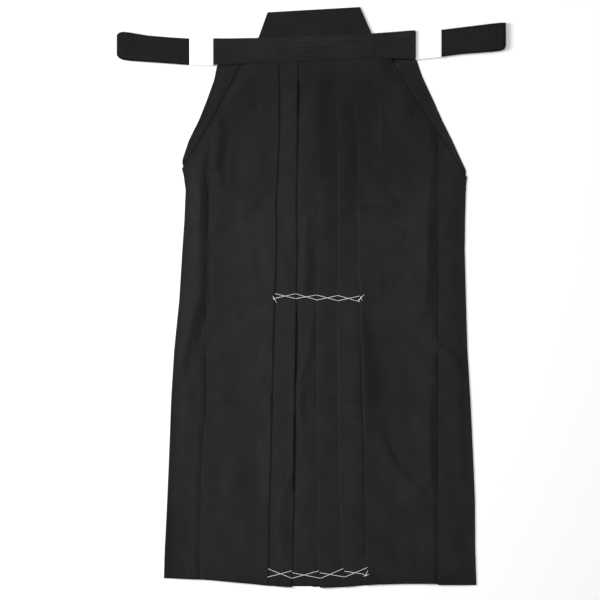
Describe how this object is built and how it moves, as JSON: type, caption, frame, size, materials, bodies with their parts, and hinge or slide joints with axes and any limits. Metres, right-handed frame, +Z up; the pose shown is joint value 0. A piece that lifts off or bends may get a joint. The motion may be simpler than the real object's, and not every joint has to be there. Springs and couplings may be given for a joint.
{
  "type": "hakama trousers",
  "caption": "Black hakama trousers laid flat, front up, with knife pleats, a stiff back board and straps folded into bundles held by paper bands.",
  "frame": {"origin": "centre of the outline's box on the surface that the garment lies on", "axes": "+Y along the garment from hem to waist, +Z up out of the surface, +X towards the wearer's left"},
  "size_m": [0.644, 0.9638, 0.0122],
  "materials": {
    "cloth": "matt, faint sheen",
    "board": "matt, stiffened",
    "band": "matt, stitched in rows",
    "strap": "matt",
    "paper": "white paper"
  },
  "bodies": {
    "root": {"front_right": "cloth", "front_left": "cloth", "front_side_right": "cloth", "front_side_left": "cloth", "back_right": "cloth", "back_left": "cloth", "back_board": "board", "back_strap_right": "strap", "back_strap_left": "strap", "front_band": "band", "front_strap_right": "strap", "front_strap_left": "strap", "paper_band_right": "paper", "paper_band_left": "paper"}
  },
  "joints": []
}
